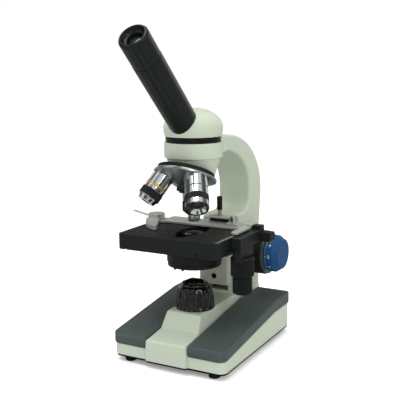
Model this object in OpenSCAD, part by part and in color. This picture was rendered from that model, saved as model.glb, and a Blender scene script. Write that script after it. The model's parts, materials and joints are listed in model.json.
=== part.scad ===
// Student compound microscope: wedge base, C-shaped arm, tilted monocular head,
// three-place nosepiece, rack-driven focus and mechanical stage.
// Millimetres. +Z up, +Y to the back, origin on the table under the middle of the base.

/* [Base] */
// Width of the casting
base_w = 131; // [128:1:133]
// Length of the casting, front to back
base_l = 171; // [169:1:172]
// Height of the rubber feet
foot_h = 5.7; // [5:0.1:6.5]
// Height of the central ridge above the table
ridge_top = 51.5; // [51:0.1:52]
// Height of the side pads' flat rear part
pad_top = 47.8; // [46:0.1:48]

/* [Arm and head] */
// Distance of the optical axis in front of the middle of the base
axis_forward = 25.3; // [25:0.1:25.6]
// Width of the arm
arm_w = 40; // [39:0.5:41]
// Underside of the round head casting
head_z = 214.3; // [214:0.1:215]
// Radius of the round head casting
head_r = 30.5; // [30:0.1:31]
// Tilt of the eyepiece tube from vertical
tube_tilt = 47; // [46:1:48]
// Length of the tube and eyepiece from the bend of the optical axis
tube_len = 150; // [145:1:155]
// Radius of the eyepiece tube
tube_r = 15.15; // [14.5:0.05:15.5]
eyepiece_r = 14.9; // [14.5:0.05:15.5]

/* [Nosepiece] */
// Tilt of the nosepiece axis, which is also each objective's angle to it
nose_tilt = 24; // [23:0.5:25]
// Height at which the objectives' axes meet
nose_apex_z = 236; // [235.5:0.5:236.5]
// Radius of the knurled ring
nose_ring_r = 29.8; // [29.5:0.1:30.5]

/* [Stage] */
// Height of the stage's top face
stage_top = 135.2; // [135:0.1:135.4]
// Left edge of the stage
stage_x0 = -66.5; // [-68:0.5:-62]
// Right edge of the stage
stage_x1 = 50.2; // [50:0.1:50.4]
// Front edge of the stage
stage_y0 = -72.5; // [-75:0.5:-70]
// Back edge of the stage
stage_y1 = 20.8; // [20.6:0.1:21]
// Radius of the condenser and diaphragm housing
condenser_r = 29.4; // [28:0.1:30]

/* [Focus] */
// Height of the focus shaft
focus_z = 97; // [96:0.5:98]
// Radius of the coarse knobs
coarse_r = 25; // [23:0.5:25.5]
// Radius of the fine knobs
fine_r = 21; // [18:0.5:22]
// Teeth on the focus pinion, module 1
focus_teeth = 14; // [14:2:14]

/* [Hidden] */
$fn = 64;

WHITE = [0.79, 0.82, 0.74];
SLATE = [0.28, 0.33, 0.34];
BLACK = [0.12, 0.13, 0.13];
STEEL = [0.72, 0.73, 0.74];
BRASS = [0.75, 0.6, 0.3];
BLUE = [0.12, 0.3, 0.62];
GLASS = [0.75, 0.85, 0.9, 0.5];
GREEN = [0.1, 0.35, 0.2];

eps = 0.1;
axis_y = -axis_forward;

// Base
plate_t = 2;
shell_z = foot_h + plate_t;
pad_gap = 0.1;
pad_over = 1;
pad_bend_y = 41;
pad_low_front = 19.7;
pad_low_back = 34.7;
pad_top_front = 31.6;
pad_inner_x = 24.4;
ridge_front_y = -base_l / 2 - 3;
ridge_back_y = 98;
ridge_half = 20.3;
ridge_ramp_half = 22.8;
ridge_foot = 24;
ramp_foot = [-60, 34.8];
ramp_head = [-50, ridge_top];
wall = 3;
corner_r = 8;
foot_r = 6.2;
foot_y = base_l / 2 - 9.5;
foot_x = base_w / 2 - 15.5;
bolt_x = 12;
bolt_y = [42, 86];
bolt_r = 2;
rocker_at = [-8, ridge_back_y - 1.5, 27.5];

// Lamp
lamp_r = 21.2;
lamp_top = 78.8;
lamp_crown_r = 14.6;
lamp_flutes = 16;
lamp_bore_r = 10.6;
lens_r = 11.3;

// Arm column and its slideway
column_front = 30;
column_top = 143;
slot_half = 12.2;
slot_back = 73.5;
slot_floor = ridge_top + 4;
slot_roof = 137;
arm_half = arm_w / 2;

// Focus drive
focus_y = 63;
focus_module = 1;
focus_pitch_r = focus_teeth * focus_module / 2;
pressure_angle = 25;
tube_shaft_r = 5;
fine_shaft_r = 3;
running = 0.05;
eyepiece_len = 31;
coarse_x0 = 26;
coarse_x1 = 48;
ring_x1 = 50;
fine_x0 = 50.3;
fine_x1 = 66.3;

// Stage
deck_t = 7;
stage_bottom = 118.5;
carrier_y0 = 17.5;
carrier_y1 = 29.6;
carrier_half = 17.3;
carrier_z0 = 65;
carrier_screw_x = 0.5;
carrier_screw_z = 74.5;
slide_front = 30.2;
slide_back = 52;
slide_z0 = 68;
slide_z1 = 120;
aperture_half = [14, 33];
aperture_y = -29;

// Mechanical stage
knob_x = 56;
knob_y = -24;
pinion_module = 0.6;
pinion_teeth = 12;
pinion_r = pinion_module * pinion_teeth / 2;
side_x0 = stage_x1 + 0.4;
side_x1 = 61.5;
block_y0 = -36.8;
block_y1 = -8;
rail_y0 = 12;
rail_y1 = 20;
rail_z0 = 135.6;
rail_z1 = 138.6;
carriage_z = 145;
cover_t = 1.7;
holder_back_y = 11.2;
tongue_t = 3.2;
holder_z0 = 135.8;
holder_t = 2.5;
holder_z1 = holder_z0 + holder_t;
finger_pivot = [-60, -4];
tall_screw_at = [9.3, 16];
short_screw_at = [33, 2];

// Nosepiece, measured along its own axis from the apex
ring_top = -37.5;
ring_h = 4.5;
flange_r = 32.8;
seat_s = 54.5;

// ---------- shared shapes ----------

module rounded_rect(w, l, r) {
    square([w - 2 * r, l], center = true);
    square([w, l - 2 * r], center = true);
    for (sx = [-1, 1], sy = [-1, 1])
        translate([sx * (w / 2 - r), sy * (l / 2 - r)]) circle(r);
}

// A side outline in Y and Z, extruded along X from x0 to x1
module side_solid(points, x0, x1) {
    translate([x0, 0, 0]) rotate([90, 0, 90]) linear_extrude(x1 - x0) polygon(points);
}

module rod(from, r, h) {
    translate(from) cylinder(r = r, h = h);
}

// A round bar along X from x0 to x1 at the focus shaft's place
module focus_bar(r, x0, x1) {
    translate([x0, focus_y, focus_z]) rotate([0, 90, 0]) cylinder(r = r, h = x1 - x0);
}

module at_axis(z) {
    translate([0, axis_y, z]) children();
}

// Children in the nosepiece's frame: its origin is where the objectives' axes meet
module nose_frame() {
    at_axis(nose_apex_z) rotate([-nose_tilt, 0, 0]) children();
}

// Children on the axis of objective i, with -Z pointing out of the nosepiece
module objective_frame(i) {
    nose_frame() rotate([0, 0, i * 120]) rotate([nose_tilt, 0, 0]) children();
}

// Children on the inclined tube's axis, with +Z towards the eye
module tube_frame() {
    at_axis(232.2) rotate([tube_tilt, 0, 0]) children();
}

function polar(r, a) = [r * cos(a), r * sin(a)];
function involute_deg(a) = tan(a) * 180 / PI - a;

// Half of a tooth's angle at radius r
function tooth_half(r, rb, at_pitch) =
    at_pitch + involute_deg(pressure_angle) - involute_deg(acos(min(1, rb / r)));

function gear_points(m, z, backlash) =
    let (
        rp = m * z / 2,
        rb = rp * cos(pressure_angle),
        rf = rp - 1.25 * m,
        ra = rp + 0.9 * m,
        at_pitch = 90 / z - backlash / rp * 90 / PI,
        radii = [rf, for (k = [0:4]) max(rb, rf) + (ra - max(rb, rf)) * k / 4]
    )
    [
        for (t = [0:z - 1])
            for (p = concat(
                [for (r = radii) polar(r, t * 360 / z - tooth_half(max(r, rb), rb, at_pitch))],
                [for (k = [len(radii) - 1:-1:0])
                    polar(radii[k], t * 360 / z + tooth_half(max(radii[k], rb), rb, at_pitch))]
            )) p
    ];

// A rack along X whose teeth point to -Y, with its pitch line on Y = 0 and a gap at X = 0
function rack_points(m, teeth, backlash, back) =
    let (
        p = PI * m,
        lean = tan(pressure_angle),
        at_pitch = p / 4 - backlash / 2,
        tip = at_pitch - 0.8 * m * lean,
        root = at_pitch + 1.2 * m * lean,
        first = -(teeth - 1) / 2 * p
    )
    concat(
        [[first - root - 0.3, back]],
        [
            for (t = [0:teeth - 1])
                for (q = [[-root, 1.2 * m], [-tip, -0.8 * m], [tip, -0.8 * m], [root, 1.2 * m]])
                    [first + t * p + q[0], q[1]]
        ],
        [[-first + root + 0.3, back]]
    );

// ---------- base ----------

module base_outline() {
    linear_extrude(80) rounded_rect(base_w, base_l, corner_r);
}

module base_ridge() {
    intersection() {
        side_solid([
            [ridge_front_y, shell_z], [ridge_back_y, shell_z], [ridge_back_y, ridge_top],
            ramp_head, ramp_foot, [ridge_front_y, 30.6]
        ], -30, 30);
        translate([0, 120, 0]) rotate([90, 0, 0]) linear_extrude(240) polygon([
            [-ridge_foot, 0], [ridge_foot, 0], [ridge_foot, 20], [ridge_ramp_half, 34],
            [ridge_half, ridge_top + eps], [-ridge_half, ridge_top + eps], [-ridge_ramp_half, 34],
            [-ridge_foot, 20]
        ]);
    }
}

module base_casting() {
    y = base_l / 2;
    color(WHITE) difference() {
        union() {
            intersection() {
                side_solid([
                    [-y, shell_z], [y, shell_z], [y, pad_low_back], [pad_bend_y, pad_low_back],
                    [-y, pad_low_front]
                ], -base_w / 2, base_w / 2);
                base_outline();
            }
            base_ridge();
        }
        side_solid([
            [-y + wall, shell_z - eps], [y - wall, shell_z - eps], [y - wall, pad_low_back - wall],
            [pad_bend_y, pad_low_back - wall], [-y + wall, pad_low_front - wall]
        ], -base_w / 2 + wall + 1, base_w / 2 - wall - 1);
        side_solid([
            [ridge_front_y + wall, shell_z - eps], [ridge_back_y - wall, shell_z - eps],
            [ridge_back_y - wall, ridge_top - 3.5], [ramp_head[0] + 2, ridge_top - 3.5],
            [ramp_foot[0] + 2, ramp_foot[1] - 4], [ridge_front_y + wall, 27]
        ], -17, 17);
        rod([0, axis_y, ridge_top - 10], 9, 20);
        for (x = [-bolt_x, bolt_x], by = bolt_y) rod([x, by, ridge_top - 10], bolt_r + 0.2, 20);
        // windows for the switch and the power inlet in the rear hump
        translate([-13.2, ridge_back_y - wall - 1, 19.8]) cube([10.4, 6, 15.4]);
        translate([8, ridge_back_y + eps, 27.5]) rotate([90, 0, 0]) cylinder(r = 4.5, h = 6);
    }
}

module base_pad() {
    y = base_l / 2 + pad_over;
    color(SLATE) intersection() {
        side_solid([
            [-y, pad_low_front + pad_gap], [pad_bend_y, pad_low_back + pad_gap],
            [y, pad_low_back + pad_gap], [y, pad_top - 3], [y - 3, pad_top],
            [pad_bend_y + 2, pad_top], [-y + 3, pad_top_front], [-y, pad_top_front - 3]
        ], pad_inner_x, base_w / 2 + pad_over);
        linear_extrude(80) rounded_rect(base_w + 2 * pad_over, base_l + 2 * pad_over, corner_r);
        rotate([90, 0, 0]) linear_extrude(200, center = true) polygon([
            [pad_inner_x, 0], [70, 0], [70, 50],
            [base_w / 2 + pad_over - 2.5, 50], [pad_inner_x + 0.4, 50], [pad_inner_x, 30]
        ]);
    }
}

module base_pad_right() {
    base_pad();
}

module base_pad_left() {
    mirror([1, 0, 0]) base_pad();
}

module base_plate() {
    color(BLACK) difference() {
        union() {
            translate([0, 0, foot_h]) linear_extrude(plate_t)
                rounded_rect(base_w - 1, base_l - 1, corner_r);
            translate([0.5 - ridge_foot, 60, foot_h])
                cube([2 * ridge_foot - 1, ridge_back_y - 61, plate_t]);
            translate([0.5 - ridge_foot, ridge_front_y + 1, foot_h])
                cube([2 * ridge_foot - 1, 20, plate_t]);
        }
        for (x = [-1, 1], s = [-1, 1]) {
            rod([x * (foot_x - 14), s * foot_y, 0], 1.7, 20);
            rod([x * foot_x, s * foot_y, 0], 2.5, 20);
        }
    }
}

module rubber_feet() {
    color(BLACK) for (x = [-foot_x, foot_x], y = [-foot_y, foot_y]) translate([x, y, 0]) {
        rotate_extrude() polygon([
            [0, 0], [foot_r - 1.2, 0], [foot_r - 0.3, 0.8], [foot_r, foot_h], [2.4, foot_h],
            [2.4, foot_h + plate_t], [3.6, foot_h + plate_t + 0.2], [2, foot_h + plate_t + 2],
            [0, foot_h + plate_t + 2]
        ]);
    }
}

module plate_screws() {
    color(STEEL) for (x = [-1, 1], y = [-foot_y, foot_y]) translate([x * (foot_x - 14), y, 0]) {
        rod([0, 0, foot_h - 1.8], 2.9, 1.8);
        rod([0, 0, foot_h - 1.8], 1.6, 9);
    }
}

// ---------- lamp ----------

module lamp_housing() {
    inner_r = lamp_bore_r;
    color(BLACK) at_axis(0) difference() {
        rotate_extrude() polygon(concat(
            [[inner_r, ridge_top], [lamp_r, ridge_top], [lamp_r, ridge_top + 3]],
            [for (k = [1:8]) let (a = k * 10) [
                lamp_crown_r + (lamp_r - lamp_crown_r) * cos(a),
                ridge_top + 3 + (lamp_top - ridge_top - 5) * sin(a)
            ]],
            [[lamp_crown_r, lamp_top - 1.2], [lamp_crown_r - 0.8, lamp_top], [inner_r, lamp_top]]
        ));
        for (k = [0:lamp_flutes - 1]) rotate([0, 0, (k + 0.5) * 360 / lamp_flutes])
            translate([lamp_r + 1.2, 0, ridge_top + 2]) rotate([0, -12, 0]) cylinder(r = 2.1, h = 22);
        rod([0, 0, lamp_top - 5], lens_r + 0.1, 4.2);
    }
}

module collector_lens() {
    color(GLASS) at_axis(lamp_top - 5) rotate_extrude() polygon(concat(
        [[0, 0], [lens_r, 0], [lens_r, 1.4]],
        [for (k = [1:6]) [lens_r * cos(k * 15), 1.4 + 3 * sin(k * 15)]]
    ));
}

module led_module() {
    color(STEEL) at_axis(ridge_top - 3.5 - 2.2) {
        rod([0, 0, 0], 14, 2);
    }
    color([0.95, 0.9, 0.6]) at_axis(ridge_top - 3.7) {
        rod([0, 0, 0], 6, 4);
        translate([0, 0, 4]) sphere(r = 3.4);
    }
}

module driver_board() {
    color(GREEN) translate([-15, 44, shell_z + 4]) cube([30, 40, 1.6]);
    color(BLACK) {
        translate([-10, 50, shell_z + 5.6]) cube([9, 7, 3]);
        translate([4, 62, shell_z + 5.6]) cylinder(r = 4, h = 9);
        translate([-9, 66, shell_z + 5.6]) cube([6, 12, 5]);
    }
    color(WHITE) for (x = [-12, 12], y = [47, 81]) rod([x, y, shell_z], 2, 4);
}

// Two insulated leads from the driver board to the lamp board
module led_leads() {
    lead_r = 0.9;
    up = ridge_top - 6.5 - shell_z - 8;
    color(BRASS) for (x = [-3.5, 3.5]) {
        translate([x, -14, shell_z + 8]) rotate([-90, 0, 0]) cylinder(r = lead_r, h = 62);
        translate([x, -14, shell_z + 8]) sphere(r = lead_r);
        rod([x, -14, shell_z + 8], lead_r, up);
        rod([x, 48, shell_z + 5.6], lead_r, 2.4);
        translate([x, 48, shell_z + 8]) sphere(r = lead_r);
    }
}

module power_inlet() {
    color(BLACK) translate([8, ridge_back_y + 0.9, 27.5]) rotate([90, 0, 0]) difference() {
        union() {
            cylinder(r = 5.4, h = 0.9);
            cylinder(r = 4.4, h = 14);
        }
        translate([0, 0, -eps]) cylinder(r = 2.8, h = 10);
    }
    color(STEEL) translate([8, ridge_back_y - 0.5, 27.5]) rotate([90, 0, 0]) cylinder(r = 1, h = 12);
}

// Bar along the rocker's axis, centred on the rocker
module switch_pin(r, h) {
    translate(rocker_at) rotate([0, 90, 0]) cylinder(r = r, h = h, center = true);
}

module switch_frame() {
    color(BLACK) difference() {
        union() {
            translate([-14.2, ridge_back_y, 18.8]) cube([12.4, 1, 17.4]);
            translate([-13, ridge_back_y - 12, 20]) cube([10, 12, 15]);
        }
        translate([-11.9, ridge_back_y - 7, 21.1]) cube([7.8, 12, 12.8]);
        switch_pin(1.05, 9.6);
    }
}

module switch_rocker() {
    color(BLACK) {
        translate(rocker_at) rotate([-7, 0, 0])
            side_solid([[-3.2, -4.2], [-3.2, 4.2], [1.8, 5.9], [1.2, 0], [1.8, -5.9]], -3.6, 3.6);
        switch_pin(1, 9.2);
    }
}

// ---------- arm ----------

// Quarter ellipse from a0 to a1 degrees, in Y and Z
function arc_yz(centre, ry, rz, a0, a1, n) =
    [for (k = [0:n]) let (a = a0 + (a1 - a0) * k / n) [centre[0] + ry * cos(a), centre[1] + rz * sin(a)]];

module arm_side() {
    polygon(concat(
        [[axis_y, head_z], [axis_y, 230]],
        arc_yz([15, 164], 89.8, 70.4, 97, 0, 14),
        [[98.5, 108], [98, 100], [98, ridge_top], [column_front, ridge_top], [column_front, column_top - 5]],
        arc_yz([column_front + 5, column_top - 5], 5, 5, 180, 90, 3),
        arc_yz([56.2, column_top + 15], 15, 15, -90, 0, 6),
        arc_yz([10, 170], 61.3, 47, 0, 100, 10)
    ));
}

module arm() {
    color(WHITE) difference() {
        union() {
            translate([-arm_half, 0, 0]) rotate([90, 0, 90]) linear_extrude(arm_w) arm_side();
            at_axis(head_z) cylinder(r = head_r, h = 230 - head_z);
        }
        // seat of the turning head, and the light path
        at_axis(230) cylinder(r = 29.5, h = 20);
        at_axis(222) cylinder(r = 24 + running, h = 20);
        at_axis(head_z - 5) cylinder(r = 13, h = 40);
        // slideway
        translate([-slot_half, column_front - eps, slot_floor])
            cube([2 * slot_half, slot_back - column_front + eps, slot_roof - slot_floor]);
        focus_bar(8, -30, 30);
        for (x = [-bolt_x, bolt_x], by = bolt_y) rod([x, by, ridge_top - eps], bolt_r, 4.1 + 2 * eps);
    }
}

module arm_bolts() {
    color(STEEL) for (x = [-bolt_x, bolt_x], by = bolt_y) {
        rod([x, by, ridge_top - 3.5 - 3], 3.5, 3);
        rod([x, by, ridge_top - 3.5 - 3], bolt_r - 0.02, 10.4);
    }
}

module focus_bushes() {
    color(BRASS) for (s = [0, 1]) mirror([s, 0, 0]) difference() {
        union() {
            focus_bar(7.98, slot_half, arm_half);
            focus_bar(10, arm_half, arm_half + 1.5);
        }
        focus_bar(tube_shaft_r + running, slot_half - 1, arm_half + 3);
    }
}

// Guide strips screwed to the insides of the slideway
module slide_gibs() {
    color(STEEL) for (s = [0, 1]) mirror([s, 0, 0])
        translate([slot_half - 2.2, 39, slot_floor + 0.5]) cube([2.2, 5, slot_roof - slot_floor - 1]);
}

module nosepiece_mount() {
    color(WHITE) difference() {
        intersection() {
            at_axis(186) cylinder(r1 = 19.5, r2 = 28.6, h = head_z - 186);
            nose_frame() translate([-60, -60, ring_top + 0.3]) cube([120, 120, 120]);
        }
        at_axis(180) cylinder(r = 11, h = 60);
        nose_frame() translate([0, 0, ring_top]) cylinder(r = 4.05, h = 8, center = true);
    }
}

// Shouldered bolt on which the nosepiece turns
module nosepiece_bolt() {
    color(STEEL) nose_frame() {
        head_top = ring_top - ring_h - 0.15;
        translate([0, 0, head_top - 3]) cylinder(r = 4, h = 3 + ring_top + 3 - head_top);
        translate([0, 0, head_top - 3]) cylinder(r = 6.5, h = 3);
    }
}

// ---------- focus drive ----------

module coarse_shaft() {
    color(STEEL) difference() {
        union() {
            focus_bar(tube_shaft_r, -coarse_x1, coarse_x1);
            translate([-9, focus_y, focus_z]) rotate([90, 0, 90]) linear_extrude(18)
                polygon(gear_points(focus_module, focus_teeth, 0.12));
        }
        focus_bar(fine_shaft_r + running, -coarse_x1 - 1, coarse_x1 + 1);
    }
}

module coarse_knob() {
    ribs = 36;
    color(BLACK) difference() {
        union() {
            focus_bar(coarse_r - 0.6, coarse_x0, coarse_x1);
            focus_bar(coarse_r - 1, coarse_x1, ring_x1);
            for (k = [0:ribs - 1])
                translate([coarse_x0 + 1.5, focus_y, focus_z]) rotate([k * 360 / ribs, 0, 0])
                    translate([0, coarse_r - 1.2, -0.8]) cube([coarse_x1 - coarse_x0 - 3, 1.2, 1.6]);
        }
        focus_bar(tube_shaft_r + 0.02, coarse_x0 - 1, coarse_x1);
        focus_bar(fine_shaft_r + 0.2, coarse_x1 - 1, ring_x1 + 1);
        difference() {
            focus_bar(coarse_r - 5, coarse_x0 - eps, coarse_x0 + 13);
            focus_bar(9, coarse_x0 - 1, coarse_x0 + 14);
        }
    }
}

module coarse_knob_right() {
    coarse_knob();
}

module coarse_knob_left() {
    mirror([1, 0, 0]) coarse_knob();
}

module fine_shaft() {
    color(STEEL) focus_bar(fine_shaft_r, -fine_x1 + 6, fine_x1 - 6);
}

module fine_knob() {
    color(BLUE) difference() {
        translate([fine_x0, focus_y, focus_z]) rotate([0, 90, 0]) rotate_extrude() polygon([
            [0, 0], [fine_r - 0.5, 0], [fine_r, 0.5], [fine_r, 9.5], [fine_r - 3.2, 13.4],
            [fine_r - 4.4, fine_x1 - fine_x0], [0, fine_x1 - fine_x0]
        ]);
        focus_bar(fine_shaft_r + 0.02, fine_x0 - 1, fine_x1 - 5.9);
    }
}

module fine_knob_right() {
    fine_knob();
}

module fine_knob_left() {
    mirror([1, 0, 0]) fine_knob();
}

module coarse_slide() {
    color(STEEL) difference() {
        translate([-12, slide_front, slide_z0]) cube([24, slide_back - slide_front, slide_z1 - slide_z0]);
        // grooves for the gibs
        for (s = [0, 1]) mirror([s, 0, 0])
            translate([9.8, 38.8, slide_z0 - 1]) cube([3, 5.4, slide_z1 - slide_z0 + 2]);
        // way of the fine slide
        translate([-8.2, slide_front - 1, slide_z0 - 1]) cube([16.4, 7, slide_z1 - slide_z0 + 2]);
    }
}

module focus_rack() {
    teeth = 12;
    color(BRASS) translate([-5, focus_y - focus_pitch_r, focus_z])
        rotate([90, 0, 90]) linear_extrude(10) rotate(90)
            polygon(rack_points(focus_module, teeth, 0.12, focus_y - focus_pitch_r - slide_back));
}

// ---------- stage ----------

module stage_carrier() {
    color(WHITE) difference() {
        union() {
            translate([-carrier_half, carrier_y0, carrier_z0])
                cube([2 * carrier_half, carrier_y1 - carrier_y0, stage_top - deck_t - carrier_z0]);
            // shelf under the stage
            translate([-carrier_half, -3, stage_bottom + 1.2])
                cube([2 * carrier_half, carrier_y0 + 4, stage_top - deck_t - stage_bottom - 1.2]);
            // tongue in the fine slideway
            translate([-8, carrier_y1 - 1, slide_z0 + 1]) cube([16, 7, slide_z1 - slide_z0 - 2]);
        }
        translate([carrier_screw_x, carrier_y0 - 1, carrier_screw_z])
            rotate([-90, 0, 0]) cylinder(r = 3.2, h = 8);
        for (x = [-13, 13]) rod([x, 9, stage_bottom], 1.6, 20);
    }
}

module carrier_screw() {
    color(BLACK) translate([carrier_screw_x, carrier_y0 + 1.6, carrier_screw_z])
        rotate([-90, 0, 0]) difference() {
            cylinder(r = 3.1, h = 5);
            translate([0, 0, -1]) cylinder(r = 1.5, h = 3.5, $fn = 6);
        }
}

module stage_outline() {
    translate([(stage_x0 + stage_x1) / 2, (stage_y0 + stage_y1) / 2])
        rounded_rect(stage_x1 - stage_x0, stage_y1 - stage_y0, 5);
}

// Pointed oval: two circles that cross
module stage_aperture() {
    r = (pow(aperture_half[0], 2) + pow(aperture_half[1], 2)) / (2 * aperture_half[0]);
    intersection() {
        translate([r - aperture_half[0], aperture_y]) circle(r);
        translate([aperture_half[0] - r, aperture_y]) circle(r);
    }
}

module stage_plate() {
    skirt = 4;
    color(BLACK) difference() {
        translate([0, 0, stage_bottom]) linear_extrude(stage_top - stage_bottom) stage_outline();
        difference() {
            translate([stage_x0 + skirt, stage_y0 + skirt, stage_bottom - eps])
                cube([stage_x1 - stage_x0 - 2 * skirt, stage_y1 - stage_y0 - 2 * skirt,
                    stage_top - deck_t - stage_bottom + eps]);
            at_axis(stage_bottom - 1) cylinder(r = 34, h = 20);
        }
        // room for the carrier's shelf and for the condenser
        translate([-carrier_half - 0.4, 1.2, stage_bottom - eps])
            cube([2 * carrier_half + 0.8, 30, stage_top - deck_t - stage_bottom + eps]);
        translate([-carrier_half - 0.4, -3.4, stage_bottom - eps])
            cube([2 * carrier_half + 0.8, 10, stage_top - deck_t - stage_bottom + eps]);
        at_axis(stage_bottom - eps) cylinder(r = 20.2, h = stage_top - deck_t - stage_bottom + 2 * eps);
        translate([0, 0, stage_bottom]) linear_extrude(30) stage_aperture();
        for (x = [-13, 13]) {
            rod([x, 9, stage_bottom], 1.7, 30);
            rod([x, 9, stage_top - 2], 3.2, 5);
        }
        // parting notch in the front skirt
        translate([-57, stage_y0 - 1, stage_bottom - eps]) cube([1.6, 8, 3]);
    }
}

module stage_screws() {
    color(STEEL) for (x = [-13, 13]) {
        rod([x, 9, stage_top - 2], 3, 1.8);
        rod([x, 9, stage_top - 11.5], 1.5, 10.5);
    }
}

module condenser_housing() {
    color(BLACK) difference() {
        at_axis(0) union() {
            rod([0, 0, 103.4], condenser_r, 15);
            rod([0, 0, 117], 20, stage_top - deck_t - 117);
            rod([0, 0, 120], 12.6, 13);
        }
        at_axis(0) {
            rod([0, 0, 102.4], 10, 40);
            rod([0, 0, 102.4], 24, 4.5);
            rod([0, 0, 128], 11.4, 20);
        }
    }
}

module condenser_lens() {
    color(GLASS) at_axis(128) rotate_extrude() polygon(concat(
        [[0, 0], [11.3, 0], [11.3, 3.4]],
        [for (k = [1:6]) [11.3 * cos(k * 15), 3.4 + 3.4 * sin(k * 15)]]
    ));
}

// Overlapping leaves that close round the light path, two thin layers
module iris_blades() {
    leaves = 8;
    color(STEEL) at_axis(0) for (k = [0:leaves - 1]) rotate([0, 0, k * 360 / leaves])
        translate([0, 0, 104.4 + 0.25 * (k % 2)]) linear_extrude(0.2) difference() {
            intersection() {
                circle(22);
                rotate(0.5) polygon([[0, 0], [30, 0], polar(43, 22.5), polar(30, 44)]);
            }
            circle(9);
        }
}

module iris_ring() {
    ring_r = condenser_r - 0.8;
    color(BLACK) at_axis(0) difference() {
        union() {
            rod([0, 0, 99], ring_r, 4.1);
            rod([0, 0, 98.2], ring_r - 2.5, 2);
            for (a = [250, 272]) rotate([0, 0, a]) translate([ring_r - 1.5, 0, 97.4])
                cylinder(r = 1.2, h = 2);
            rod([0, 0, 102.4], 23.9, 1.6);
        }
        rod([0, 0, 96], 11, 20);
    }
}

// ---------- mechanical stage ----------

module y_rack() {
    teeth = 24;
    // four pitches forward of the pinion, so that both ends of the travel stay in mesh
    color(BRASS) translate([knob_x - pinion_r, knob_y - 4 * PI * pinion_module, 119])
        linear_extrude(3) rotate(90)
            polygon(rack_points(pinion_module, teeth, 0.1, knob_x - pinion_r - stage_x1));
}

module y_slide() {
    color(BLACK) difference() {
        union() {
            // side bar, gear block and the corner that carries the rail
            translate([side_x0, block_y0, 113]) cube([side_x1 - side_x0, block_y1 - block_y0, 21.6]);
            translate([side_x1 - 7, block_y0 - 2.7, 109]) cube([7, 2.8, 25.6]);
            translate([side_x0, -40, 123.5]) cube([4.5, 60, 11.1]);
            translate([side_x0, -10, 122.8]) cube([side_x1 - side_x0, 30, 11.8]);
            translate([side_x1 - 1, rail_y0 - 4, 123.4]) cube([13, 12, 9.2]);
            translate([side_x0, rail_y0 - 0.6, 134]) cube([side_x1 - side_x0 - 0.6, 9.2, 4.9]);
        }
        // tunnel for the rack, and the pinion's pocket
        translate([side_x0 - 1, block_y0 - 1, 118.6]) cube([3.6, block_y1 - block_y0 + 2, 3.8]);
        rod([knob_x, knob_y, 118.6], 4.7, 3.8);
        rod([knob_x, knob_y, 100], 2.8 + running, 33.3);
    }
}

module x_rail() {
    color(STEEL) difference() {
        translate([-52, rail_y0, rail_z0]) cube([side_x0 + 52, rail_y1 - rail_y0, rail_z1 - rail_z0]);
        translate([-53, rail_y1 - 1, rail_z0 + 0.9]) cube([98, 1.1, 0.9]);
    }
}

module drive_cover() {
    color(BRASS) translate([side_x0 + 1, rail_y0 - 3, 122.1]) cube([21, 10, 0.7]);
    color(BRASS) translate([side_x1 + 0.6, rail_y0 - 3, 122.6]) cube([10, 9, 0.8]);
}

// Upper stage knob with its hollow shaft and pinion
module y_knob() {
    top = 112.6;
    bottom = 92;
    ribs = 24;
    color(BLACK) difference() {
        union() {
            rod([knob_x, knob_y, bottom + 1.5], 11.8, top - bottom - 1.5);
            rod([knob_x, knob_y, bottom], 11, 2);
            for (k = [0:ribs - 1]) translate([knob_x, knob_y, bottom + 2]) rotate([0, 0, k * 360 / ribs])
                translate([11.3, -0.7, 0]) cube([1, 1.4, top - bottom - 3]);
        }
        rod([knob_x, knob_y, bottom - 1], 1.5 + running, 40);
    }
    color(STEEL) difference() {
        union() {
            rod([knob_x, knob_y, top - 0.5], 2.8, 133 - top + 0.5);
            translate([knob_x, knob_y, 119]) linear_extrude(3)
                polygon(gear_points(pinion_module, pinion_teeth, 0.1));
        }
        rod([knob_x, knob_y, top - 2], 1.5 + running, 40);
    }
}

module x_knob() {
    top = 91.7;
    bottom = 73.5;
    ribs = 22;
    color(BLACK) {
        rod([knob_x, knob_y, bottom + 1.5], 9.8, top - bottom - 1.5);
        rod([knob_x, knob_y, bottom], 9, 2);
        for (k = [0:ribs - 1]) translate([knob_x, knob_y, bottom + 2]) rotate([0, 0, k * 360 / ribs])
            translate([9.3, -0.6, 0]) cube([1, 1.2, top - bottom - 3]);
    }
    color(STEEL) rod([knob_x, knob_y, top - 1], 1.5, 133.4 - top);
}

// Bridge over the rail, on two feet that stand on the slide holder
module x_carriage() {
    plate_z = carriage_z - cover_t;
    color(STEEL) difference() {
        union() {
            translate([-3, 8.4, plate_z]) cube([32, rail_y1 - 6, cover_t]);
            translate([-3, rail_y1 + 0.4, rail_z0 + 0.8]) cube([32, 2, plate_z - rail_z0]);
            for (x = [-3, 24.5])
                translate([x, 8.4, holder_z1])
                    cube([3, holder_back_y - 8.4, plate_z - holder_z1 + eps]);
            // tongue under the short screw
            translate([26, -4, holder_z1]) cube([14, holder_back_y + 4, tongue_t]);
        }
        rod([tall_screw_at[0], tall_screw_at[1], 140], 1.5 + running, 8);
        rod([short_screw_at[0], short_screw_at[1], 130], 1.5 + running, 20);
    }
    // black runner between the bridge and the rail
    color(BLACK) difference() {
        translate([0, rail_y0 - 0.2, rail_z1 + 0.4])
            cube([24, rail_y1 - rail_y0 + 0.4, plate_z - rail_z1 - 0.5]);
        rod([tall_screw_at[0], tall_screw_at[1], 140], 1.5 + running, 8);
    }
}

module slide_holder() {
    color(STEEL) difference() {
        translate([0, 0, holder_z0]) linear_extrude(holder_t) difference() {
            union() {
                polygon([[-66, -10], [-66, 4], [-52, holder_back_y], [40, holder_back_y], [52, 6],
                    [52, -28], [47, -29], [44, -26], [44, -6], [-47, -6], [-52, -10]]);
                translate(finger_pivot) circle(9);
            }
            translate(finger_pivot) circle(1.5 + running);
        }
        rod([short_screw_at[0], short_screw_at[1], 130], 1.5 + running, 20);
    }
}

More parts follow.
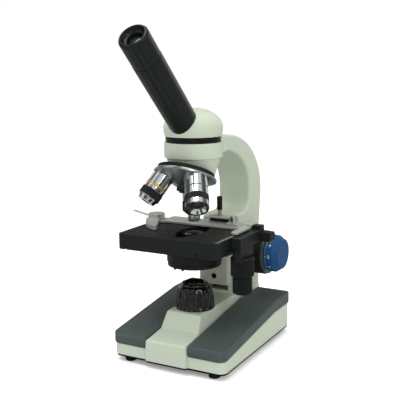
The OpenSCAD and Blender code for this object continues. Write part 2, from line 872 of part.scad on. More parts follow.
module tall_thumbscrew() {
    at = [tall_screw_at[0], tall_screw_at[1], 0];
    color(STEEL) {
        rod(at + [0, 0, carriage_z - 4], 1.5, 5);
        rod(at + [0, 0, carriage_z + 0.2], 2.4, 6.5);
    }
    color(BLACK) rod(at + [0, 0, carriage_z + 6.6], 3, 14.9);
}

module short_thumbscrew() {
    at = [short_screw_at[0], short_screw_at[1], 0];
    color(STEEL) {
        rod(at + [0, 0, 136.2], 1.5, 7);
        rod(at + [0, 0, holder_z1 + tongue_t + 0.2], 3, 1.2);
        rod(at + [0, 0, holder_z1 + tongue_t + 1.3], 4, 6);
    }
}

// Crescent from the boss to the slide's corner
module finger_outline() {
    polygon([
        [-68.6, -7], [-66, -16], [-60, -27], [-52, -37], [-44, -43.5], [-38, -46.5], [-35.5, -45],
        [-36.5, -41], [-42, -31], [-47.5, -22], [-51.5, -12]
    ]);
}

// Sprung finger that holds the slide, with its thumb lever
module clip_finger() {
    p = finger_pivot;
    color(STEEL) {
        translate([p[0], p[1], holder_z1 + 0.3]) difference() {
            cylinder(r = 9.2, h = 6.9);
            translate([0, 0, -1]) cylinder(r = 6, h = 5.2);
        }
        rod([p[0], p[1], holder_z0 + 0.3], 1.5, 7.5);
        // curved finger, with a lip that reaches down beside the slide
        difference() {
            translate([0, 0, holder_z1 + 0.3]) linear_extrude(2.6) finger_outline();
            rod([p[0], p[1], holder_z1], 8, 4);
        }
        translate([0, 0, holder_z0 + 0.2]) linear_extrude(holder_t + 0.2) difference() {
            finger_outline();
            translate(p) circle(12.5);
        }
        // lever
        translate([p[0] - 7.5, p[1] + 3, holder_z1 + 2.2]) rotate([0, 87, 159]) cylinder(r = 1.1, h = 36);
    }
}

module clip_spring() {
    color(STEEL) translate([finger_pivot[0], finger_pivot[1], holder_z1 + 0.2]) for (k = [0:2])
        translate([0, 0, 0.5 + k * 0.9]) rotate_extrude() translate([3.6, 0]) circle(0.42, $fn = 16);
}

// ---------- nosepiece ----------

module turret_shell() {
    base_z = ring_top - ring_h + 0.1;
    tip = -seat_s / cos(nose_tilt);
    color(STEEL) difference() {
        nose_frame() rotate_extrude() polygon([
            [0, tip], [flange_r, tip + flange_r * tan(nose_tilt)], [flange_r, base_z - 0.6],
            [flange_r - 0.6, base_z], [0, base_z]
        ]);
        nose_frame() translate([0, 0, -52.2]) cylinder(r = 7, h = 30);
        nose_frame() translate([0, 0, -60]) cylinder(r = 6.5, h = 30);
        for (i = [0:2]) objective_frame(i) translate([0, 0, -70]) cylinder(r = 10, h = 40);
    }
}

module turret_ring() {
    color(BLACK) nose_frame() difference() {
        translate([0, 0, ring_top - ring_h + 0.1]) cylinder(r = nose_ring_r, h = ring_h - 0.1);
        translate([0, 0, ring_top - 20]) cylinder(r = 4 + running, h = 40);
        for (i = [0:2]) rotate([0, 0, i * 120]) rotate([nose_tilt, 0, 0])
            translate([0, 0, -70]) cylinder(r = 10, h = 50);
    }
}

module turret_cap() {
    tip = -seat_s / cos(nose_tilt);
    color(BLACK) nose_frame() translate([0, 0, tip - 0.6]) {
        cylinder(r = 6.3, h = 4.4);
        translate([0, 0, -1.8]) cylinder(r = 3, h = 2.4);
    }
}

// An objective as a turned barrel: pairs of radius and distance from the apex
module barrel(i, outline) {
    objective_frame(i) rotate_extrude() polygon([for (p = outline) [p[0], -p[1]]]);
}

module objective_long() {
    color(STEEL) barrel(0, [
        [8, 48], [9.95, 48], [9.95, seat_s], [12, seat_s], [12, 68], [11.7, 68], [11.7, 68.8],
        [12.3, 68.8], [12.3, 79], [10.5, 80.5], [7.4, 83], [6.6, 83], [6.2, 90], [3.2, 90], [3.2, 80],
        [8, 76]
    ]);
}

module objective_medium() {
    color(STEEL) barrel(2, [
        [8, 48], [9.95, 48], [9.95, seat_s], [12, seat_s], [12, 66], [11.7, 66], [11.7, 66.8],
        [12, 66.8], [12, 75], [12.3, 75], [12.3, 81.5], [12, 81.5], [12, 88], [10.6, 90], [9, 90],
        [8, 84]
    ]);
}

module objective_short() {
    color(STEEL) barrel(1, [
        [8, 48], [9.95, 48], [9.95, seat_s], [11.3, seat_s], [11.3, 66], [11.1, 66], [11.1, 68],
        [11.3, 68], [11.3, 72], [11.7, 72], [11.7, 80], [10.4, 81], [9, 85], [5, 85], [5, 78], [8, 74]
    ]);
}

module objective_lenses() {
    color(GLASS) {
        barrel(0, [[0, 85], [3.18, 85], [3.18, 88.5], [0, 89.2]]);
        barrel(2, [[0, 84.5], [7.9, 84.5], [8.5, 88.6], [0, 89.4]]);
        barrel(1, [[0, 80], [4.98, 80], [4.98, 83.5], [0, 84.4]]);
    }
}

// ---------- head ----------

module head_ring() {
    color(BLACK) at_axis(0) difference() {
        union() {
            rod([0, 0, 230.2], 29, 6);
            rod([0, 0, 222.3], 24, 9);
        }
        rod([0, 0, 220], 14, 20);
    }
}

// Half outline of a dome that swells by `swell` from its foot at z0 to its widest at z1
function dome_points(r, swell, z0, z1, z2) = concat(
    [[0, z0]],
    [for (k = [0:5]) [r - swell * pow(1 - k / 5, 2), z0 + (z1 - z0) * k / 5]],
    [for (k = [1:12]) [r * cos(k * 7.5), z1 + (z2 - z1) * sin(k * 7.5)]]
);

module head_dome() {
    color(WHITE) difference() {
        at_axis(0) rotate_extrude() polygon(dome_points(31, 1.4, 236.2, 245, 265));
        at_axis(0) rotate_extrude() polygon(dome_points(27.6, 0, 236, 244, 261.5));
        tube_frame() cylinder(r = tube_r + 0.05, h = 60);
    }
}

module eyepiece_tube() {
    color(BLACK) tube_frame() difference() {
        translate([0, 0, 24]) cylinder(r = tube_r, h = tube_len - eyepiece_len - 24);
        translate([0, 0, 20]) cylinder(r = 11.65, h = 120);
    }
}

// Deflects the light from vertical into the inclined tube
module head_prism() {
    color(GLASS) at_axis(234) side_solid([
        [-9, 2.4], [6, 2.4], [-0.9, 19], [-13, 6.9]
    ], -8.5, 8.5);
}

module eyepiece() {
    shoulder = tube_len - eyepiece_len + 0.2;
    color(BLACK) tube_frame() difference() {
        rotate_extrude() polygon([
            [0, 86], [11.6, 86], [11.6, shoulder], [eyepiece_r, shoulder], [eyepiece_r, tube_len - 2.5],
            [eyepiece_r - 1.2, tube_len - 0.6], [eyepiece_r - 2.4, tube_len], [0, tube_len]
        ]);
        translate([0, 0, 85]) cylinder(r = 9.6, h = 26);
        translate([0, 0, 113]) cylinder(r = 8, h = 60);
        translate([0, 0, tube_len - 5]) cylinder(r1 = 8, r2 = 12, h = 5.1);
    }
    color(GLASS) tube_frame() {
        translate([0, 0, tube_len - 13]) cylinder(r = 8, h = 6);
        translate([0, 0, 88]) cylinder(r = 9.6, h = 3);
    }
}

base_casting();
base_pad_left();
base_pad_right();
base_plate();
rubber_feet();
plate_screws();
arm();
arm_bolts();
lamp_housing();
collector_lens();
led_module();
driver_board();
led_leads();
power_inlet();
switch_frame();
switch_rocker();
focus_bushes();
slide_gibs();
nosepiece_mount();
nosepiece_bolt();
coarse_shaft();
coarse_knob_right();
coarse_knob_left();
fine_shaft();
fine_knob_right();
fine_knob_left();
coarse_slide();
focus_rack();
stage_carrier();
carrier_screw();
stage_plate();
stage_screws();
condenser_housing();
condenser_lens();
iris_blades();
iris_ring();
y_rack();
y_slide();
x_rail();
drive_cover();
y_knob();
x_knob();
x_carriage();
slide_holder();
tall_thumbscrew();
short_thumbscrew();
clip_finger();
clip_spring();
turret_shell();
turret_ring();
turret_cap();
objective_long();
objective_medium();
objective_short();
objective_lenses();
head_ring();
head_dome();
eyepiece_tube();
head_prism();
eyepiece();
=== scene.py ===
"""The looks of the student microscope: rounded shells over the CAD frame, turned parts, marks, materials.

Lengths are in millimetres until they reach a mesh, which is in metres. The outline of a turned part is a list
of (radius, distance along the axis). +Z is up and -Y is towards the user.
"""

import json
import math

import bmesh
import bpy
from mathutils import Matrix, Vector


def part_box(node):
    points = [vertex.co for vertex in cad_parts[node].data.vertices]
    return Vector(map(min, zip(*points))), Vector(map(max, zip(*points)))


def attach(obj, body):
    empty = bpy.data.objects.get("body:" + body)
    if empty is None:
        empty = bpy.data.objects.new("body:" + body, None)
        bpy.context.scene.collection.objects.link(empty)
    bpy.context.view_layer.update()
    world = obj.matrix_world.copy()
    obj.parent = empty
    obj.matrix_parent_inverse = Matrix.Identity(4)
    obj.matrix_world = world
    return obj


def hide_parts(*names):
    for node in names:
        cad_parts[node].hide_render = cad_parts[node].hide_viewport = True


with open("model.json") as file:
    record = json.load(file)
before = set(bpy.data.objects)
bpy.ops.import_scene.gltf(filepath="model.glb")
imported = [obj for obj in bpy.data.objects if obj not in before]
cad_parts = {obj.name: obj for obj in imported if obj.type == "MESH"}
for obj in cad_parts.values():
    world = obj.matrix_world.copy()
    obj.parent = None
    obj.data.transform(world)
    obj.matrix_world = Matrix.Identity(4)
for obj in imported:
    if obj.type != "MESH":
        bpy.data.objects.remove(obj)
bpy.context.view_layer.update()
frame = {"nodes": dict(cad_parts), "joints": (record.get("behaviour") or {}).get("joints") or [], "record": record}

MM = 0.001
WELD = 0.002            # points closer than this become one
FLAT_TURN = 0.6         # degrees: an edge that turns less only splits a flat face
ON_AXIS = 1e-6          # a smaller radius counts as the axis itself
RECORD = frame["record"]
JOINTS = {j["name"]: j for j in frame["joints"]}
BODY_OF = {n: body for body, nodes in RECORD["behaviour"]["bodies"].items() for n in nodes}
SLOT_OF = {s["node"]: s["material_slot"] for s in RECORD["subparts"]}


def low(node):
    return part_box(node)[0] / MM


def high(node):
    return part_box(node)[1] / MM


# ---------- places taken from the frame ----------

AXIS_Y = JOINTS["head_turn"]["pos_m"][1] / MM
APEX = Vector(JOINTS["turret_turn"]["pos_m"]) / MM
NOSE_DOWN = Vector(JOINTS["turret_turn"]["axis"]).normalized()
TUBE_UP = Vector(JOINTS["eyepiece_lift"]["axis"]).normalized()
FOCUS = Vector(JOINTS["coarse_turn"]["pos_m"]) / MM
STAGE_KNOB = Vector(JOINTS["y_knob_turn"]["pos_m"]) / MM
STAGE_LOW, STAGE_HIGH = low("stage_plate"), high("stage_plate")
TUBE_BEND = Vector((0, AXIS_Y, 232.2))


def frame_along(origin, direction):
    """The matrix whose +Z runs along direction from origin, in millimetres."""
    turn = Vector(direction).normalized().to_track_quat("Z", "Y").to_matrix().to_4x4()
    return Matrix.Translation(Vector(origin)) @ turn


UPRIGHT = frame_along((0, AXIS_Y, 0), (0, 0, 1))
NOSE = frame_along(APEX, NOSE_DOWN)
TUBE = frame_along(TUBE_BEND, TUBE_UP)
FOCUS_RIGHT = frame_along((0, FOCUS.y, FOCUS.z), (1, 0, 0))
FOCUS_LEFT = frame_along((0, FOCUS.y, FOCUS.z), (-1, 0, 0))
KNOBS = frame_along((STAGE_KNOB.x, STAGE_KNOB.y, 0), (0, 0, 1))


def objective_place(i):
    """Objective i's axis from the apex: the first is the vertical, working one."""
    turn = Matrix.Rotation(math.radians(120 * i), 3, -NOSE_DOWN)
    return frame_along(APEX, turn @ Vector((0, 0, -1)))


# ---------- materials ----------

def new_material(name, base, rough, metallic=0.0):
    material = bpy.data.materials.new(name)
    material.use_nodes = True
    shader = material.node_tree.nodes["Principled BSDF"]
    shader.inputs["Base Color"].default_value = (*base, 1)
    shader.inputs["Roughness"].default_value = rough
    shader.inputs["Metallic"].default_value = metallic
    return material, shader


def noise(material, scale, detail=3.0):
    """Noise in the piece's own coordinates. A scale of 1000 has cells of about a millimetre."""
    tree = material.node_tree
    place = tree.nodes.new("ShaderNodeTexCoord")
    texture = tree.nodes.new("ShaderNodeTexNoise")
    texture.inputs["Scale"].default_value = scale
    texture.inputs["Detail"].default_value = detail
    tree.links.new(place.outputs["Object"], texture.inputs["Vector"])
    return texture.outputs["Fac"]


def vary_colour(material, shader, base, other, scale):
    tree = material.node_tree
    mix = tree.nodes.new("ShaderNodeMix")
    mix.data_type = "RGBA"
    mix.inputs["A"].default_value = (*base, 1)
    mix.inputs["B"].default_value = (*other, 1)
    tree.links.new(noise(material, scale), mix.inputs["Factor"])
    tree.links.new(mix.outputs["Result"], shader.inputs["Base Color"])


def vary_roughness(material, shader, rough, spread, scale):
    tree = material.node_tree
    remap = tree.nodes.new("ShaderNodeMapRange")
    remap.inputs["To Min"].default_value = max(0.02, rough - spread)
    remap.inputs["To Max"].default_value = rough + spread
    tree.links.new(noise(material, scale), remap.inputs["Value"])
    tree.links.new(remap.outputs["Result"], shader.inputs["Roughness"])


def add_grain(material, shader, scale, strength, depth):
    """Fine relief from noise: depth in millimetres."""
    tree = material.node_tree
    bump = tree.nodes.new("ShaderNodeBump")
    bump.inputs["Strength"].default_value = strength
    bump.inputs["Distance"].default_value = depth * MM
    tree.links.new(noise(material, scale, 2.0), bump.inputs["Height"])
    tree.links.new(bump.outputs["Normal"], shader.inputs["Normal"])


TINT_SCALE = 90         # the colour drifts over about a centimetre
GLOSS_SCALE = 260       # the roughness drifts over about four millimetres


def surface(name, base, rough, metallic=0.0, tint=0.06, spread=0.05, grain=(1500, 0.15, 0.1), sheen=0.5):
    """A material whose colour, roughness and grain all vary a little over the surface.

    grain is (scale, strength, depth), and sheen is the strength of the plain reflection.
    """
    material, shader = new_material(name, base, rough, metallic)
    shader.inputs["Specular IOR Level"].default_value = sheen
    darker = [c * (1 - tint) for c in base]
    vary_colour(material, shader, base, darker, TINT_SCALE)
    vary_roughness(material, shader, rough, spread, GLOSS_SCALE)
    if grain:
        add_grain(material, shader, *grain)
    return material


def glass(name, tint, rough=0.02):
    material, shader = new_material(name, tint, rough)
    shader.inputs["Transmission Weight"].default_value = 1.0
    shader.inputs["IOR"].default_value = 1.52
    vary_roughness(material, shader, rough + 0.01, 0.01, 120)
    return material


SURFACES = {
    "enamel": dict(base=(0.47, 0.525, 0.42), rough=0.4, tint=0.03, grain=(900, 0.12, 0.06), sheen=0.3),
    "block": dict(base=(0.46, 0.49, 0.41), rough=0.55, tint=0.3, grain=(1900, 0.6, 0.3), sheen=0.25),
    "slate": dict(base=(0.056, 0.073, 0.069), rough=0.5, tint=0.14, grain=(2600, 0.2, 0.08), sheen=0.25),
    "plate": dict(base=(0.003, 0.0035, 0.0035), rough=0.5, sheen=0.06),
    "rubber": dict(base=(0.006, 0.006, 0.006), rough=0.75, grain=(1300, 0.3, 0.1), sheen=0.2),
    "gloss_black": dict(base=(0.003, 0.003, 0.003), rough=0.15, spread=0.02, grain=None, sheen=0.6),
    "band_black": dict(base=(0.003, 0.003, 0.003), rough=0.14, spread=0.02, grain=None, sheen=0.4),
    "satin_black": dict(base=(0.009, 0.011, 0.010), rough=0.4, tint=0.2, grain=(1700, 0.2, 0.06), sheen=0.18),
    "anodised": dict(base=(0.0095, 0.012, 0.0105), rough=0.44, tint=0.2, grain=(3200, 0.35, 0.08), sheen=0.2),
    "tube_black": dict(base=(0.0085, 0.0115, 0.0095), rough=0.3, tint=0.1, grain=(1200, 0.1, 0.05),
                       sheen=0.2),
    "blue": dict(base=(0.014, 0.062, 0.16), rough=0.33, tint=0.1, grain=(1400, 0.12, 0.05), sheen=0.07),
    "steel": dict(base=(0.50, 0.50, 0.50), rough=0.3, metallic=1.0, grain=(2500, 0.15, 0.03)),
    "silver": dict(base=(0.56, 0.575, 0.53), rough=0.42, metallic=0.6, tint=0.1, grain=(2200, 0.25, 0.05)),
    "clip_steel": dict(base=(0.50, 0.515, 0.47), rough=0.4, metallic=0.6, tint=0.1, grain=(2200, 0.2, 0.04)),
    "chrome": dict(base=(0.62, 0.65, 0.64), rough=0.11, metallic=1.0, spread=0.02, grain=None),
    "satin_chrome": dict(base=(0.42, 0.45, 0.435), rough=0.3, metallic=1.0, spread=0.02, grain=None),
    "ring_grey": dict(base=(0.10, 0.12, 0.115), rough=0.35, metallic=0.6),
    "brass": dict(base=(0.46, 0.39, 0.26), rough=0.34, metallic=1.0),
    "gold": dict(base=(0.55, 0.36, 0.06), rough=0.3, metallic=0.7),
    "navy": dict(base=(0.010, 0.03, 0.075), rough=0.35),
    "marks": dict(base=(0.74, 0.78, 0.78), rough=0.5, grain=None),
    "board": dict(base=(0.015, 0.11, 0.045), rough=0.4),
    "phosphor": dict(base=(0.80, 0.68, 0.16), rough=0.45),
    "wire": dict(base=(0.38, 0.03, 0.02), rough=0.35),
    "lens": dict(base=(0.010, 0.012, 0.013), rough=0.05, spread=0.01, grain=None, sheen=0.5),
}
M = {name: surface(name, **look) for name, look in SURFACES.items()}
M["glass"] = glass("glass", (0.92, 0.96, 0.97))

# the look of a CAD node, by the slot that the record gives it
CAD_LOOK = {
    "white_enamel": "enamel", "white_block": "block", "slate_pad": "slate", "black_plate": "plate",
    "black_rubber": "rubber", "gloss_black": "gloss_black", "satin_black": "satin_black",
    "black_anodised": "anodised", "black_tube": "tube_black", "blue_knob": "blue", "steel": "steel",
    "satin_silver": "silver", "chrome": "chrome", "brass": "brass", "glass": "glass",
    "circuit_board": "board", "led": "phosphor", "wire": "wire",
}


# ---------- meshes ----------

def add_piece(name, mesh, looks, body, stands_for=()):
    """Makes the object, smooths it with flat faces kept flat, and ties it to its body."""
    piece = bpy.data.objects.new(name, mesh)
    bpy.context.scene.collection.objects.link(piece)
    for look in looks:
        mesh.materials.append(M[look])
    weighted = piece.modifiers.new("even_normals", "WEIGHTED_NORMAL")
    weighted.keep_sharp = True
    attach(piece, body)
    if stands_for:
        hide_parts(*stands_for)
    return piece


def finish_mesh(bm, name, crease=50):
    bmesh.ops.recalc_face_normals(bm, faces=bm.faces)
    for face in bm.faces:
        face.smooth = True
    for edge in bm.edges:
        edge.smooth = not (len(edge.link_faces) == 2 and edge.calc_face_angle(0) > math.radians(crease))
    mesh = bpy.data.meshes.new(name)
    bm.to_mesh(mesh)
    bm.free()
    return mesh


def islands(bm):
    """The separate closed shells of a mesh, as lists of vertices."""
    seen, found = set(), []
    for start in bm.verts:
        if start in seen:
            continue
        group, queue = [], [start]
        seen.add(start)
        while queue:
            vert = queue.pop()
            group.append(vert)
            for edge in vert.link_edges:
                other = edge.other_vert(vert)
                if other not in seen:
                    seen.add(other)
                    queue.append(other)
        found.append(group)
    return found


def sharp_edges(bm, wanted=None, angle=35):
    """The edges that turn by more than angle degrees, of those that wanted accepts."""
    sharp = [e for e in bm.edges if len(e.link_faces) == 2 and e.calc_face_angle(0) > math.radians(angle)]
    return [e for e in sharp if wanted is None or wanted(e)]


def round_edges(bm, width, segments, wanted=None):
    edges = sharp_edges(bm, wanted)
    if edges:
        bmesh.ops.bevel(
            bm, geom=edges, offset=width * MM, offset_type="OFFSET", segments=segments,
            profile=0.5, affect="EDGES", clamp_overlap=False,
        )


def refined(node, width=0.35, segments=2, look=None, wide=None, other=None):
    """A copy of a CAD node with rounded edges. wide is (width, segments, wanted edges) for a first, broader
    rounding, and other is (look, test on an island's low and high corner) for a solid of another colour."""
    bm = bmesh.new()
    bm.from_mesh(frame["nodes"][node].data)
    bmesh.ops.remove_doubles(bm, verts=bm.verts, dist=WELD * MM)
    bmesh.ops.dissolve_limit(bm, angle_limit=math.radians(FLAT_TURN), verts=bm.verts, edges=bm.edges)
    if wide:
        round_edges(bm, *wide)
    if width:
        round_edges(bm, width, segments)
    looks = [look or CAD_LOOK[SLOT_OF[node]]]
    if other:
        looks.append(other[0])
        for group in islands(bm):
            lo = Vector([min(v.co[i] for v in group) for i in range(3)]) / MM
            hi = Vector([max(v.co[i] for v in group) for i in range(3)]) / MM
            if other[1](lo, hi):
                for vert in group:
                    for face in vert.link_faces:
                        face.material_index = 1
    mesh = finish_mesh(bm, node + "_shell")
    return add_piece(node + "_shell", mesh, looks, BODY_OF[node], (node,))


def softened(outline, amount):
    """Rounds each corner of a closed outline, apart from those on the axis."""
    side_share = 2.3        # a corner reaches along at most 1 / side_share of a side, so corners don't meet
    shortest = 0.01
    done = []
    count = len(outline)
    for i, point in enumerate(outline):
        here = Vector(point)
        before, after = Vector(outline[i - 1]), Vector(outline[(i + 1) % count])
        reach = min(amount, (before - here).length / side_share, (after - here).length / side_share)
        if here.x < ON_AXIS or reach < shortest:
            done.append(tuple(here))
            continue
        start = here + (before - here).normalized() * reach
        end = here + (after - here).normalized() * reach
        done += [tuple(start), tuple(start * 0.25 + here * 0.5 + end * 0.25), tuple(end)]
    return done


def revolved(outline, place, steps=96, soft=0.25, ribs=None):
    """A closed outline turned about place's +Z.

    ribs is (count, depth, start, end): grooves in the outer wall from start to end along the axis.
    """
    points = softened(outline, soft)
    wall = max(r for r, s in points) - 1.2
    if ribs:
        count, depth, start, end = ribs
        steps = count * 6
    bm = bmesh.new()
    columns = []
    for k in range(steps):
        turn = 2 * math.pi * k / steps
        column = []
        for i, (r, s) in enumerate(points):
            if r < ON_AXIS:
                column.append(columns[0][i] if columns else bm.verts.new(place @ Vector((0, 0, s)) * MM))
                continue
            if ribs and start <= s <= end and r > wall:
                r -= depth * smooth_groove(count * turn)
            column.append(bm.verts.new(place @ Vector((r * math.cos(turn), r * math.sin(turn), s)) * MM))
        columns.append(column)
    for k in range(steps):
        here, there = columns[k], columns[(k + 1) % steps]
        for i in range(len(points)):
            j = (i + 1) % len(points)
            ring = [here[i], here[j], there[j], there[i]]
            corners = [v for n, v in enumerate(ring) if v not in ring[:n]]
            if len(corners) > 2:
                bm.faces.new(corners)
    return bm


def clamped(value):
    return max(0.0, min(1.0, value))


def smooth_groove(turn):
    """0 on a rib's flat top and 1 in its groove, with short slopes between."""
    wave, steepness, flat = 0.5 - 0.5 * math.cos(turn), 1.8, 0.5
    return clamped(wave * steepness - flat)


def turned(name, outline, place, look, body, slot, stands_for=(), **how):
    mesh = finish_mesh(revolved(outline, place, **how), name)
    return add_piece(name, mesh, [look], body, stands_for)


def tube_ring(inner, outer, start, end):
    return [(inner, start), (outer, start), (outer, end), (inner, end)]


def disc(radius, start, end):
    return [(0, start), (radius, start), (radius, end), (0, end)]


def strips(name, boxes, look, body):
    """Many small boxes as one piece. Each is a pair: the matrix of its middle and its three half sizes."""
    bm = bmesh.new()
    for place, size in boxes:
        made = bmesh.ops.create_cube(bm, size=2)["verts"]
        for vert in made:
            vert.co = (place @ Vector([vert.co[i] * size[i] for i in range(3)])) * MM
    mesh = finish_mesh(bm, name)
    return add_piece(name, mesh, [look], body)


# ---------- camera ----------

def add_camera():
    """The photograph's viewing direction, distance and field of view."""
    azimuth, elevation, roll = (math.radians(a) for a in (28.28, 9.56, -0.42))
    distance, target = 798.3, Vector((0, 0, 170))
    back = Vector((
        math.sin(azimuth) * math.cos(elevation), -math.cos(azimuth) * math.cos(elevation), math.sin(elevation)
    ))
    right = Vector((math.cos(azimuth), math.sin(azimuth), 0))
    up = back.cross(right)
    right, up = (
        right * math.cos(roll) + up * math.sin(roll), -right * math.sin(roll) + up * math.cos(roll)
    )
    data = bpy.data.cameras.new("camera")
    data.sensor_width = 36
    data.lens = 66.2
    data.shift_x = -0.0131
    data.shift_y = -0.0133
    data.clip_end = 50
    camera = bpy.data.objects.new("camera", data)
    bpy.context.scene.collection.objects.link(camera)
    turn = Matrix((right, up, back)).transposed().to_4x4()
    camera.matrix_world = Matrix.Translation((target + back * distance) * MM) @ turn
    bpy.context.scene.camera = camera


# ---------- base ----------

def make_base():
    lowest = 20             # edges under this height keep only the narrow rounding

    def outer_edge(edge):
        return min(v.co.z for v in edge.verts) > lowest * MM and not stays_sharp(edge)

    def steep_edge(edge):
        """The pad's own chamfers are shallower, and shade smoothly as they are."""
        return edge.calc_face_angle(0) > math.radians(60)

    refined("base_casting", 0.5, 2, wide=(2.0, 4, outer_edge))
    for side in ("left", "right"):
        refined(f"base_pad_{side}", 0, wide=(1.5, 4, steep_edge))
    refined("base_plate", 0.3)
    refined("rubber_feet", 0.3)


# the base's openings and hollow: half width, lowest and highest y, lowest and highest z
BASE_KEPT_SHARP = {
    "arm bolts": (15, 36, math.inf, 46, math.inf),
    "hollow underside": (17.5, -84, 95.5, -math.inf, 49),
    "rear openings": (16, 94, math.inf, -math.inf, 40),
}
LAMP_HOLE_REACH = 12


def stays_sharp(edge):
    """Whether an edge of the base casting lies round one of its openings or inside its hollow."""
    middle = (edge.verts[0].co + edge.verts[1].co) / 2 / MM
    near_lamp = (middle - Vector((0, AXIS_Y, middle.z))).length < LAMP_HOLE_REACH
    return near_lamp or any(
        abs(middle.x) < half and y_from < middle.y < y_to and z_from < middle.z < z_to
        for half, y_from, y_to, z_from, z_to in BASE_KEPT_SHARP.values()
    )


def make_lamp():
    """A glossy dome with flutes that fade out towards its crown, a crown ring and the lens."""
    base_z, top_z = low("lamp_housing").z, high("lamp_housing").z
    radius = high("lamp_housing").x
    flutes, depth, rows = 16, 2.1, 22
    steps = flutes * 10
    crown_r, inner_r = 14.6, 10.6
    shoulder, crown_z = base_z + 3, top_z - 2.6
    fade_in, fade_out = 0.04, 0.84          # where the flutes begin and end, as shares of the height
    outline = [(inner_r, base_z), (radius, base_z), (radius, shoulder)]
    for row in range(1, rows + 1):
        turn = row * math.pi / 2 / rows
        outline.append((crown_r + (radius - crown_r) * math.cos(turn) ** 1.15,
                        shoulder + (crown_z - shoulder) * math.sin(turn)))
    outline += [(crown_r, top_z - 1.6), (crown_r - 0.4, top_z - 0.6), (crown_r - 1.4, top_z),
                (inner_r + 1.2, top_z), (inner_r, top_z - 1)]
    bm = bmesh.new()
    columns = []
    for k in range(steps):
        turn = 2 * math.pi * k / steps
        column = []
        for r, s in outline:
            height = (s - base_z) / (top_z - base_z)
            fade = clamped((height - fade_in) * 8) * clamped((fade_out - height) * 5)
            if r > crown_r + 0.2:
                r -= depth * fade * (0.5 + 0.5 * math.cos(flutes * turn)) ** 1.5
            column.append(bm.verts.new((UPRIGHT @ Vector((r * math.cos(turn), r * math.sin(turn), s))) * MM))
        columns.append(column)
    for k in range(steps):
        here, there = columns[k], columns[(k + 1) % steps]
        for i in range(len(outline)):
            j = (i + 1) % len(outline)
            bm.faces.new([here[i], here[j], there[j], there[i]])
    mesh = finish_mesh(bm, "lamp_dome")
    add_piece("lamp_dome", mesh, ["gloss_black"], "stand", ("lamp_housing",))
    make_lamp_lens(top_z)


def make_lamp_lens(top_z):
    """A domed lens just under the housing's top."""
    radius, rim, foot, rise = 10.5, top_z - 4.4, top_z - 5, 2.9
    crown = [
        (radius * math.cos(math.radians(a)), rim + rise * math.sin(math.radians(a))) for a in range(0, 90, 6)
    ]
    turned("lamp_lens", [(0, foot), (radius, foot)] + crown + [(0, top_z - 1.5)], UPRIGHT, "lens", "stand",
           "glass", ("collector_lens",), soft=0.1)


# ---------- arm and focus ----------

def make_arm():
    side = 20.0                 # half the arm's width
    front, foot = 6, 56         # the outline's edges behind and above these are rounded broadly

    def outer_outline(edge):
        a, b = (v.co / MM for v in edge.verts)
        flat_side = abs(abs(a.x) - side) < 0.05 and abs(abs(b.x) - side) < 0.05
        return flat_side and min(a.y, b.y) > front and min(a.z, b.z) > foot

    refined("arm", 0.35, 2, wide=(3.0, 5, outer_outline))
    refined("nosepiece_mount", 0.5, 2)


def make_focus_knobs():
    """The same pair of knobs on both sides. Distances run outwards from the middle of the arm."""
    inner, rim, ring_end = 26.0, 48.0, 50.0
    bore, web = 5.1, inner + 12
    outer = high("coarse_knob_right").z - FOCUS.z
    face = high("fine_knob_right").x
    fine_r = high("fine_knob_right").z - FOCUS.z
    fine_start = ring_end + 0.3
    grip = [(bore, inner), (8.8, inner), (9.2, web), (outer - 5.2, web), (outer - 4.6, inner),
            (outer - 1, inner), (outer, inner + 1.2), (outer, rim - 1.2), (outer - 1, rim), (bore, rim)]
    cap = [(0, fine_start), (fine_r - 0.5, fine_start), (fine_r, fine_start + 0.6),
           (fine_r, fine_start + 9.3), (fine_r - 3.1, face - 2.4), (fine_r - 4.3, face),
           (fine_r - 8, face), (0, face - 0.35)]
    for side, place in (("right", FOCUS_RIGHT), ("left", FOCUS_LEFT)):
        turned(f"coarse_grip_{side}", grip, place, "satin_black", "coarse_drive", "satin_black",
               (f"coarse_knob_{side}",), ribs=(54, 0.75, inner + 1.6, rim - 1.3))
        turned(f"coarse_band_{side}", tube_ring(3.3, outer - 1, rim + 0.05, ring_end), place, "ring_grey",
               "coarse_drive", "satin_black", soft=0.3)
        turned(f"fine_cap_{side}", cap, place, "blue", "fine_drive", "blue_knob", (f"fine_knob_{side}",),
               soft=0.5)
        make_fine_marks(side, place, fine_r, fine_start)


def make_fine_marks(side, place, radius, start):
    """Graduations round the fine knob: a long stroke every fifth."""
    count, boxes = 50, []
    for k in range(count):
        length = 2.6 if k % 5 == 0 else 1.3
        turn = Matrix.Rotation(2 * math.pi * k / count, 4, "Z")
        middle = Matrix.Translation((radius + 0.01, 0, start + 0.9 + length / 2))
        boxes.append((place @ turn @ middle, (0.03, 0.14, length / 2)))
    strips(f"fine_marks_{side}", boxes, "marks", "fine_drive")
    numerals(side, place, radius, start, count)


